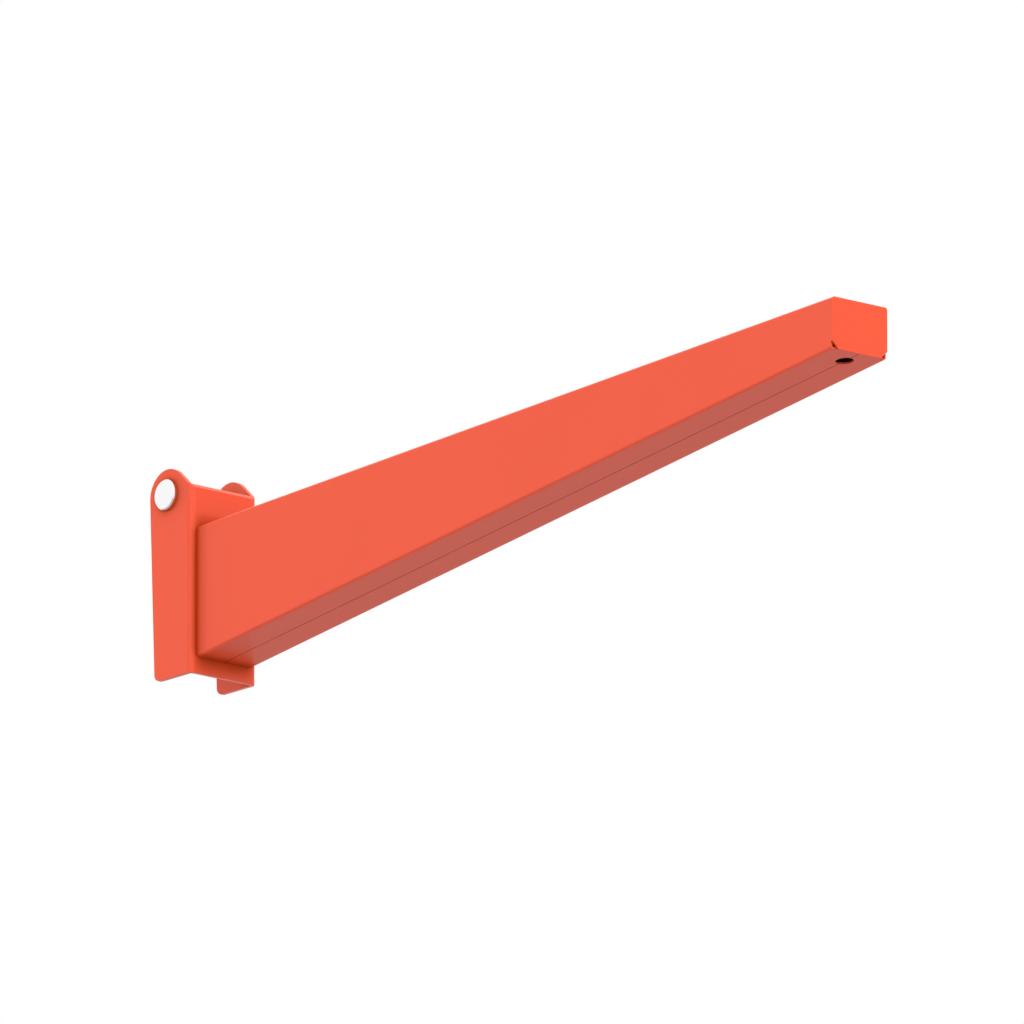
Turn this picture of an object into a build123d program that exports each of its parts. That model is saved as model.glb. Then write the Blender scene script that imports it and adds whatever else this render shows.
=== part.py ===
from build123d import *
from math import cos, radians, sin, sqrt, tan
import os

# Cantilever rack arm with a folded saddle bracket, in millimetres.
# +X runs out along the arm, +Y across it and +Z up.
# The origin is the centre of the bracket's bearing face, which rests against the rack's column.
# Heights below are measured from the bracket's lower edge and shifted to the origin at the end.

# Saddle bracket, folded from one plate
plate_thickness = 5.0
column_gap = 78.5
fold_inner_radius = 1.5
pin_height = 194.0
pin_setback = 33.0
ear_radius = 27.5
front_slope = 42.65
rear_lean = 2.17
ear_corner_radius = 8.0
plate_edge_break = 0.5

# Tapered arm, folded from one sheet that closes in a seam along its underside
arm_reach = 1000.0
arm_width = 73.0
sheet_thickness = 2.0
sheet_inner_radius = 0.8
root_rise = 16.7
root_height = 138.4
tip_height = 53.9
top_incline = 2.41
seam_gap = 0.8
stop_hole_diameter = 19.0
stop_hole_from_tip = 24.0

# Plate that closes the tip, with its lower corners cut off as drain openings
end_plate_thickness = 2.5
end_plate_corner_cut = 8.0

# Headed pin through both ears
pin_diameter = 20.0
pin_clearance = 0.5
head_diameter = 32.0
head_thickness = 4.5
head_chamfer = 1.2
pin_overhang = 13.0
pin_end_chamfer = 1.5

# Spring clip that keeps the pin in, bent from round wire
clip_wire = 3.5
clip_hole_clearance = 0.5
clip_bow_clearance = 0.15
clip_ear_distance = 6.0
clip_bow_half_angle = 52.0
clip_loop_radius = 4.5
clip_loop_drop = 31.0
clip_neck_drop = 12.5
clip_neck_radius = 4.0
clip_leg_above = 17.0
clip_flare = 5.0

# Places that several pieces share
web_front_x = plate_thickness
bracket_width = column_gap + 2 * plate_thickness
ear_outer_y = bracket_width / 2
slope = radians(front_slope)
incline = radians(top_incline)
front_tangent_x = -pin_setback + ear_radius * sin(slope)
front_tangent_height = pin_height + ear_radius * cos(slope)
bearing_height = front_tangent_height + front_tangent_x * tan(slope)
arm_end_x = arm_reach - end_plate_thickness
arm_length = arm_reach - web_front_x
root_top = root_rise + root_height
tip_top = root_top + arm_length * tan(incline)
underside_slope = (tip_top - tip_height - root_rise) / arm_length
sheet_outer_radius = sheet_inner_radius + sheet_thickness
clip_y = ear_outer_y + clip_ear_distance
clip_hole_radius = (clip_wire + clip_hole_clearance) / 2


def top_height(x):
    """Height of the arm's top surface at a distance x from the column face."""
    return root_top + (x - web_front_x) * tan(incline)


def underside_height(x):
    """Height of the arm's underside at a distance x from the column face."""
    return root_rise + (x - web_front_x) * underside_slope


def side_prism(outline, width):
    """Outline drawn in the side view, given its width across the arm."""
    return extrude(make_face(Plane.XZ * outline), amount=width / 2, both=True)


def channel_plan():
    """Plan of the folded plate: the web across the front and an ear on each side, with true bends."""
    depth = pin_setback + 2 * ear_radius
    outer = Pos(X=(web_front_x - depth) / 2) * Rectangle(web_front_x + depth, bracket_width)
    outer = fillet(outer.vertices().sort_by(Axis.X)[-2:], fold_inner_radius + plate_thickness)
    gap = Pos(X=-depth / 2) * Rectangle(depth, column_gap)
    gap = fillet(gap.vertices().sort_by(Axis.X)[-2:], fold_inner_radius)
    return outer - gap


def ear_outline():
    """Side view of the bracket: a dome round the pin, a sloped front and a leaning rear edge."""
    lean = radians(rear_lean)
    centre = Vector(-pin_setback, pin_height)
    front_tangent = Vector(front_tangent_x, front_tangent_height)
    rear_tangent = centre + Vector(-cos(lean), -sin(lean)) * ear_radius
    crown = centre + Vector(0, ear_radius)
    web_top = front_tangent + Vector(1, -tan(slope)) * (web_front_x - front_tangent_x)
    rear_foot = Vector(rear_tangent.X + rear_tangent.Y * tan(lean), 0)
    front_foot = Vector(web_front_x, 0)
    dome = ThreePointArc(front_tangent, crown, rear_tangent)
    straight = Polyline(rear_tangent, rear_foot, front_foot, web_top, front_tangent)
    face = make_face(dome + straight)
    return fillet(face.vertices().sort_by_distance((rear_foot.X, rear_foot.Y))[0], ear_corner_radius)


def make_bracket():
    """Saddle bracket: the folded plate cut to its side view, with the pin holes through both ears."""
    plate = extrude(channel_plan(), amount=pin_height + 2 * ear_radius)
    side = extrude(Plane.XZ * ear_outline(), amount=bracket_width, both=True)
    hole_radius = (pin_diameter + pin_clearance) / 2
    bore = Pos(-pin_setback, 0, pin_height) * Rot(X=90) * Cylinder(hole_radius, 2 * bracket_width)
    bracket = plate & side
    return fillet(bracket.edges(), plate_edge_break) - bore


def tapered_prism(start_x, end_x, inset):
    """Tapered block between the arm's top and underside, moved inwards on all four sides by inset."""
    top_drop = inset / cos(incline)
    bottom_lift = inset * sqrt(1 + underside_slope**2)
    corners = [
        (start_x, underside_height(start_x) + bottom_lift),
        (end_x, underside_height(end_x) + bottom_lift),
        (end_x, top_height(end_x) - top_drop),
        (start_x, top_height(start_x) - top_drop),
    ]
    return side_prism(Polyline(*corners, close=True), arm_width - 2 * inset)


def make_arm_body():
    """Hollow arm: a sheet folded round four bends, its lower flanges meeting in the seam."""
    outer = tapered_prism(web_front_x, arm_end_x, 0)
    outer = fillet(outer.edges().sort_by(SortBy.LENGTH)[-4:], sheet_outer_radius)
    hollow = tapered_prism(web_front_x, arm_end_x, sheet_thickness)
    hollow = fillet(hollow.edges().sort_by(SortBy.LENGTH)[-4:], sheet_inner_radius)
    hole_x = arm_reach - stop_hole_from_tip
    hole_middle = (underside_height(hole_x) + top_height(hole_x)) / 2
    hole = Pos(hole_x, 0, hole_middle) * Cylinder(stop_hole_diameter / 2, 2 * tip_height)
    return outer - hollow - make_seam() - hole


def make_seam():
    """Slot between the two lower flanges, through the underside alone."""
    reach = 2 * sheet_thickness
    corners = [
        (web_front_x, underside_height(web_front_x) - reach),
        (arm_end_x, underside_height(arm_end_x) - reach),
        (arm_end_x, underside_height(arm_end_x) + reach),
        (web_front_x, underside_height(web_front_x) + reach),
    ]
    return side_prism(Polyline(*corners, close=True), seam_gap)


def make_end_plate():
    """Plate on the tip: rounded above like the arm, with both lower corners cut off."""
    plate = tapered_prism(arm_end_x, arm_reach, 0)
    corners = plate.edges().filter_by(lambda edge: abs((edge @ 1 - edge @ 0).X) > end_plate_thickness / 2)
    plate = fillet(corners.sort_by(Axis.Z)[-2:], sheet_outer_radius)
    corners = plate.edges().filter_by(lambda edge: abs((edge @ 1 - edge @ 0).X) > end_plate_thickness / 2)
    return chamfer(corners.sort_by(Axis.Z)[:2], end_plate_corner_cut)


def make_pin():
    """Headed pin, its head on the near ear and a cross hole for the clip beyond the far one."""
    shank_radius = pin_diameter / 2
    length = bracket_width + pin_overhang
    head = Cylinder(head_diameter / 2, head_thickness, align=(Align.CENTER, Align.CENTER, Align.MAX))
    head = chamfer(head.edges().sort_by(Axis.Z)[0], head_chamfer)
    shank = Cylinder(shank_radius, length, align=(Align.CENTER, Align.CENTER, Align.MIN))
    shank = chamfer(shank.edges().sort_by(Axis.Z)[-1], pin_end_chamfer)
    pin = Pos(-pin_setback, -ear_outer_y, pin_height) * Rot(X=-90) * (head + shank)
    return pin - Pos(-pin_setback, clip_y, pin_height) * Cylinder(clip_hole_radius, 2 * pin_diameter)


def clip_path():
    """Centre line of the clip: a straight leg, a loop below and a leg bowed round the pin."""
    bow_radius = (pin_diameter + clip_wire) / 2 + clip_bow_clearance
    half = radians(clip_bow_half_angle)
    bow_corner = bow_radius / cos(half)
    neck = bow_corner - clip_neck_drop * tan(half)
    return FilletPolyline(
        (0, clip_leg_above),
        (0, -clip_loop_drop),
        (2 * clip_loop_radius, -clip_loop_drop),
        (neck, -clip_neck_drop),
        (bow_corner, 0),
        (neck, clip_neck_drop),
        (neck + clip_flare, clip_leg_above),
        radius=[clip_loop_radius, clip_loop_radius, clip_neck_radius, bow_radius, clip_neck_radius],
    )


def make_retaining_clip():
    """Spring clip of round wire, its straight leg through the pin's cross hole."""
    path = Plane(origin=(-pin_setback, clip_y, pin_height), x_dir=(-1, 0, 0), z_dir=(0, 1, 0)) * clip_path()
    start = Plane(origin=path @ 0, z_dir=path % 0)
    return sweep(start * Circle(clip_wire / 2), path=path)


parts = {
    "bracket": make_bracket(),
    "arm_body": make_arm_body(),
    "end_plate": make_end_plate(),
    "pin": make_pin(),
    "retaining_clip": make_retaining_clip(),
}

os.makedirs("parts", exist_ok=True)
for name, part in parts.items():
    export_step(Pos(Z=-bearing_height / 2) * part, f"parts/{name}.step")
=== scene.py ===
import math

import bpy
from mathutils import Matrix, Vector


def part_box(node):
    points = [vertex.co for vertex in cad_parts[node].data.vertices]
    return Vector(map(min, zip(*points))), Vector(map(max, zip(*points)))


# Looks of the cantilever rack arm: its finishes, and a plain studio round it, in metres.

# Camera, a very long lens from below the arm's tip, so that parallel edges stay parallel
CAMERA_AZIMUTH = 49.545
CAMERA_ELEVATION = -14.673
CAMERA_DISTANCE = 49.15
CAMERA_AIM = (0.4591, 0.0, -0.0148)
CAMERA_LENS_MM = 1700.0
CAMERA_SENSOR_MM = 36.0
CAMERA_CLIP_END = 120.0

# Floor, far enough below for the camera to stay above it
FLOOR_DEPTH = 14.0
FLOOR_HALF_WIDTH = 34.0
FLOOR_GREY = 0.80

# Background that the camera sees and that glossy surfaces reflect, white
SEEN_LEVEL = 1.0

# Even glow that lights matt surfaces, less a dark flag on the side that the tip's end face mirrors
AMBIENT_LEVEL = 0.61
FLAG_TOWARDS = (0.736, 0.628, 0.253)
FLAG_EDGE = 0.80
FLAG_FULL = 0.93

# Soft lamps: the side they stand on, how far off, how wide, and their power in watts
LAMPS = {
    "key": ((0.95, 0.08, 0.19), 9.0, 5.5, 412.0),
    "left": ((-0.97, -0.21, 0.10), 5.5, 2.3, 120.0),
    "front": ((0.40, -0.90, 0.15), 7.0, 4.0, 122.0),
    "overhead": ((-0.15, 0.10, 1.0), 5.0, 4.0, 120.0),
    "back_fill": ((-0.70, 0.65, 0.35), 6.0, 4.0, 100.0),
}

# Noise: the values it mostly stays between, and how many octaves plain and rich patterns have
NOISE_RANGE = (0.3, 0.7)
PLAIN_DETAIL = 2.0
RICH_DETAIL = 3.0

# Powder coat: its linear colour, a faint drift of tone, and the fine orange peel that breaks its gloss
ORANGE = (0.973, 0.098, 0.036)
DRIFT_SCALE = 9.0
DRIFT_SHARES = (0.985, 1.01)
PEEL_SCALE = 420.0
PEEL_GRAIN = 0.45
PEEL_STRENGTH = 0.02
PEEL_DEPTH = 0.0004
PAINT_ROUGHNESS = (0.29, 0.33)
PAINT_SPECULAR = 0.375
PAINT_IOR = 1.5

# Painted shade in the paint's corners, put into its colour: its reach, how steeply it sets in, its colour
# and the gloss it takes away
CORNER_REACH = 0.018
CORNER_FALL = 2.4
CORNER_SHADE_COLOUR = (0.44, 0.040, 0.0)
CORNER_SPECULAR_LOSS = 0.50

# Darker painted shade in slits and holes, by how much of the surroundings is open, and its largest share
SLIT_OPENNESS = (0.45, 0.10)
SLIT_MOST = 0.85
SLIT_SHADE_COLOUR = (0.09, 0.002, 0.0)

# Painted wide shade between large faces, which takes away most of the red that they throw on each other
WIDE_REACH = 0.120
WIDE_MOST = 0.62
WIDE_SHADE_COLOUR = (0.02, 0.100, 0.040)
SHADE_SAMPLES = 8

# Bright zinc on the pin, with turned rings about its axis and a cloudy sheen
ZINC = (0.94, 0.94, 0.945)
ACROSS_PIN = (1.0, 0.0, 1.0)
RING_SCALE = 2600.0
RING_STRENGTH = 0.06
RING_DEPTH = 0.0002
CLOUD_SCALE = 90.0
ZINC_ROUGHNESS = (0.20, 0.25)

# Drawn wire of the clip
WIRE = (0.60, 0.60, 0.61)
DRAWN_SCALE = 900.0
DRAWN_STRENGTH = 0.1
DRAWN_DEPTH = 0.0001
WIRE_ROUGHNESS = (0.24, 0.36)


class Graph:
    """Small helper that adds shader nodes. A link into a node is given as (node, name of its output)."""

    def __init__(self, tree):
        self.tree = tree
        tree.nodes.clear()

    def add(self, kind, inputs=None, **settings):
        """A node of one kind, with its settings, and its inputs as values or as links."""
        node = self.tree.nodes.new(kind)
        for name, value in settings.items():
            setattr(node, name, value)
        for name, value in (inputs or {}).items():
            if isinstance(value, tuple) and isinstance(value[0], bpy.types.Node):
                source, output = value
                self.tree.links.new(source.outputs[output], node.inputs[name])
            else:
                node.inputs[name].default_value = value
        return node

    def output(self, kind, shader):
        """The tree's output node, fed by a shader node."""
        node = self.tree.nodes.new(kind)
        self.tree.links.new(shader.outputs[0], node.inputs["Surface"])

    def math(self, operation, *values, **settings):
        """Arithmetic on numbers."""
        return self.add("ShaderNodeMath", dict(enumerate(values)), operation=operation, **settings)

    def vector_math(self, operation, *values):
        """Arithmetic on vectors."""
        return self.add("ShaderNodeVectorMath", dict(enumerate(values)), operation=operation)

    def remap(self, value, source, target):
        """A value taken from one range to another, and kept inside it."""
        names = ("From Min", "From Max", "To Min", "To Max")
        return self.add("ShaderNodeMapRange", {"Value": value, **dict(zip(names, source + target))})

    def choose(self, factor, first, second):
        """The first value where the factor is 0 and the second where it is 1."""
        return self.add("ShaderNodeMix", {"Factor": factor, "A": first, "B": second}, data_type="FLOAT")

    def mix_towards(self, colour, share, target):
        """A colour mixed with a fixed one by a share."""
        inputs = {"Fac": share, "Color1": (colour, "Color"), "Color2": (*target, 1.0)}
        return self.add("ShaderNodeMixRGB", inputs)

    def noise(self, place, scale, detail, grain=0.5):
        """Noise in the object's own space."""
        inputs = {"Vector": place, "Scale": scale, "Detail": detail, "Roughness": grain}
        return self.add("ShaderNodeTexNoise", inputs)

    def bump(self, noise, strength, depth):
        """Relief that follows a noise."""
        inputs = {"Height": (noise, "Fac"), "Strength": strength, "Distance": depth}
        return self.add("ShaderNodeBump", inputs)


def new_material(name):
    """Empty node material and its graph."""
    material = bpy.data.materials.new(name)
    material.use_nodes = True
    return material, Graph(material.node_tree)


def drifting_orange(graph, place):
    """The paint's colour, a little darker or lighter from place to place."""
    drift = graph.noise(place, DRIFT_SCALE, RICH_DETAIL)
    tone = graph.add("ShaderNodeValToRGB", {"Fac": (drift, "Fac")})
    for element, position, share in zip(tone.color_ramp.elements, NOISE_RANGE, DRIFT_SHARES):
        element.position = position
        element.color = (*[channel * share for channel in ORANGE], 1.0)
    return tone


def paint_shade_into_colour(graph, colour):
    """The colour with painted shade in large hollows, corners and slits, and the specular level there."""
    corner = graph.add("ShaderNodeAmbientOcclusion", {"Distance": CORNER_REACH}, samples=SHADE_SAMPLES)
    wide = graph.add("ShaderNodeAmbientOcclusion", {"Distance": WIDE_REACH}, samples=SHADE_SAMPLES)
    corner_open = graph.math("POWER", (corner, "AO"), CORNER_FALL)
    corner_share = graph.math("SUBTRACT", 1.0, (corner_open, "Value"))
    slit_share = graph.remap((corner, "AO"), SLIT_OPENNESS, (0.0, SLIT_MOST))
    wide_share = graph.math("MULTIPLY_ADD", (wide, "AO"), -WIDE_MOST, WIDE_MOST)
    # Painted shade: wide hollows lose most of their red
    colour = graph.mix_towards(colour, (wide_share, "Value"), WIDE_SHADE_COLOUR)
    # Painted shade: corners darken towards the corner shade colour
    colour = graph.mix_towards(colour, (corner_share, "Value"), CORNER_SHADE_COLOUR)
    # Painted shade: slits and holes darken towards a near-black colour
    colour = graph.mix_towards(colour, (slit_share, "Result"), SLIT_SHADE_COLOUR)
    # Painted shade also takes gloss away in corners
    loss = (-CORNER_SPECULAR_LOSS, PAINT_SPECULAR)
    specular = graph.math("MULTIPLY_ADD", (corner_share, "Value"), *loss, use_clamp=True)
    return colour, specular


def make_powder_coat():
    """Orange powder coat: its colour with a faint drift and painted shade in hollows, corners and slits,
    a fine orange-peel surface and a soft gloss.
    """
    material, graph = new_material("orange_powder_coat")
    place = (graph.add("ShaderNodeTexCoord"), "Object")
    colour, specular = paint_shade_into_colour(graph, drifting_orange(graph, place))
    peel = graph.noise(place, PEEL_SCALE, PLAIN_DETAIL, PEEL_GRAIN)
    gloss = graph.remap((peel, "Fac"), NOISE_RANGE, PAINT_ROUGHNESS)
    bump = graph.bump(peel, PEEL_STRENGTH, PEEL_DEPTH)
    shader = graph.add(
        "ShaderNodeBsdfPrincipled",
        {
            "Base Color": (colour, "Color"),
            "Roughness": (gloss, "Result"),
            "Normal": (bump, "Normal"),
            "Specular IOR Level": (specular, "Value"),
            "IOR": PAINT_IOR,
        },
    )
    graph.output("ShaderNodeOutputMaterial", shader)
    return material


def finish_metal(graph, colour, sheen, bump):
    """Bare metal as the material's surface, with its sheen and relief."""
    shader = graph.add(
        "ShaderNodeBsdfPrincipled",
        {
            "Base Color": (*colour, 1.0),
            "Metallic": 1.0,
            "Roughness": (sheen, "Result"),
            "Normal": (bump, "Normal"),
        },
    )
    graph.output("ShaderNodeOutputMaterial", shader)


def make_zinc():
    """Bright zinc on turned steel: fine rings about the pin's axis and a slightly uneven sheen."""
    material, graph = new_material("bright_zinc")
    place = (graph.add("ShaderNodeTexCoord"), "Object")
    low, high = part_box("pin")
    from_middle = graph.vector_math("SUBTRACT", place, tuple((low + high) / 2))
    from_axis = graph.vector_math("MULTIPLY", (from_middle, "Vector"), ACROSS_PIN)
    radius = graph.vector_math("LENGTH", (from_axis, "Vector"))
    rings = graph.add(
        "ShaderNodeTexNoise",
        {"W": (radius, "Value"), "Scale": RING_SCALE, "Detail": PLAIN_DETAIL},
        noise_dimensions="1D",
    )
    cloud = graph.noise(place, CLOUD_SCALE, PLAIN_DETAIL)
    sheen = graph.remap((cloud, "Fac"), NOISE_RANGE, ZINC_ROUGHNESS)
    finish_metal(graph, ZINC, sheen, graph.bump(rings, RING_STRENGTH, RING_DEPTH))
    return material


def make_spring_wire():
    """Drawn spring wire, a little duller than the pin."""
    material, graph = new_material("drawn_spring_wire")
    place = (graph.add("ShaderNodeTexCoord"), "Object")
    drawn = graph.noise(place, DRAWN_SCALE, RICH_DETAIL)
    sheen = graph.remap((drawn, "Fac"), NOISE_RANGE, WIRE_ROUGHNESS)
    finish_metal(graph, WIRE, sheen, graph.bump(drawn, DRAWN_STRENGTH, DRAWN_DEPTH))
    return material


def finish_nodes(nodes):
    """Gives each piece of the arm its finish."""
    paint = make_powder_coat()
    finishes = {
        "bracket": paint,
        "arm_body": paint,
        "end_plate": paint,
        "pin": make_zinc(),
        "retaining_clip": make_spring_wire(),
    }
    for name, material in finishes.items():
        for slot in nodes[name].material_slots:
            slot.material = material


def make_floor():
    """Pale floor far below the arm."""
    half = FLOOR_HALF_WIDTH
    corners = [(-half, -half, 0), (half, -half, 0), (half, half, 0), (-half, half, 0)]
    mesh = bpy.data.meshes.new("floor")
    mesh.from_pydata(corners, [], [(0, 1, 2, 3)])
    floor = bpy.data.objects.new("floor", mesh)
    floor.location = (0, 0, -FLOOR_DEPTH)
    bpy.context.scene.collection.objects.link(floor)
    material, graph = new_material("pale_floor")
    grey = (FLOOR_GREY, FLOOR_GREY, FLOOR_GREY, 1.0)
    graph.output("ShaderNodeOutputMaterial", graph.add("ShaderNodeBsdfDiffuse", {"Color": grey}))
    mesh.materials.append(material)


def ambient_level(graph, direction):
    """Strength of the even glow from one direction, which the flag takes away round its own."""
    closeness = graph.vector_math("DOT_PRODUCT", direction, FLAG_TOWARDS)
    return graph.remap((closeness, "Value"), (FLAG_EDGE, FLAG_FULL), (AMBIENT_LEVEL, 0.0))


def make_world():
    """White to the camera and in glossy surfaces, with an even glow that lights matt ones."""
    world = bpy.data.worlds.new("studio")
    bpy.context.scene.world = world
    world.use_nodes = True
    graph = Graph(world.node_tree)
    direction = (graph.add("ShaderNodeTexCoord"), "Generated")
    ambient = ambient_level(graph, direction)
    rays = graph.add("ShaderNodeLightPath")
    clear = graph.math("MAXIMUM", (rays, "Is Camera Ray"), (rays, "Is Transmission Ray"))
    seen = graph.math("MAXIMUM", (clear, "Value"), (rays, "Is Glossy Ray"))
    level = graph.choose((seen, "Value"), (ambient, "Result"), SEEN_LEVEL)
    white = {"Color": (1.0, 1.0, 1.0, 1.0), "Strength": (level, "Result")}
    graph.output("ShaderNodeOutputWorld", graph.add("ShaderNodeBackground", white))


def make_lamps():
    """Large soft lamps that face the middle of the arm."""
    for name, (side, distance, width, power) in LAMPS.items():
        data = bpy.data.lights.new(name, "AREA")
        data.size = width
        data.energy = power
        lamp = bpy.data.objects.new(name, data)
        direction = Vector(side).normalized()
        lamp.location = Vector(CAMERA_AIM) + direction * distance
        lamp.rotation_mode = "QUATERNION"
        lamp.rotation_quaternion = (-direction).to_track_quat("-Z", "Y")
        lamp.visible_glossy = False
        bpy.context.scene.collection.objects.link(lamp)


def make_camera():
    """Camera at the photograph's angle, framed as there."""
    azimuth = math.radians(CAMERA_AZIMUTH)
    elevation = math.radians(CAMERA_ELEVATION)
    back = Vector((
        math.sin(azimuth) * math.cos(elevation),
        -math.cos(azimuth) * math.cos(elevation),
        math.sin(elevation),
    ))
    data = bpy.data.cameras.new("camera")
    data.lens = CAMERA_LENS_MM
    data.sensor_width = CAMERA_SENSOR_MM
    data.clip_end = CAMERA_CLIP_END
    camera = bpy.data.objects.new("camera", data)
    camera.location = Vector(CAMERA_AIM) + back * CAMERA_DISTANCE
    camera.rotation_mode = "QUATERNION"
    camera.rotation_quaternion = (-back).to_track_quat("-Z", "Y")
    bpy.context.scene.collection.objects.link(camera)
    bpy.context.scene.camera = camera


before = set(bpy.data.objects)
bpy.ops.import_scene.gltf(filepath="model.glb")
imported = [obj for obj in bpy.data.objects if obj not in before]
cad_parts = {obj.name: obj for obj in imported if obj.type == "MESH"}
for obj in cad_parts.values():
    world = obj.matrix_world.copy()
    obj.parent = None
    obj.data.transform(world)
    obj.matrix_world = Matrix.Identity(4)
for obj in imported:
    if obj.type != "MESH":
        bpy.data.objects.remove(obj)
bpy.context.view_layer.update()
finish_nodes(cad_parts)
make_floor()
make_world()
make_lamps()
make_camera()
bpy.context.scene.view_settings.view_transform = "Standard"
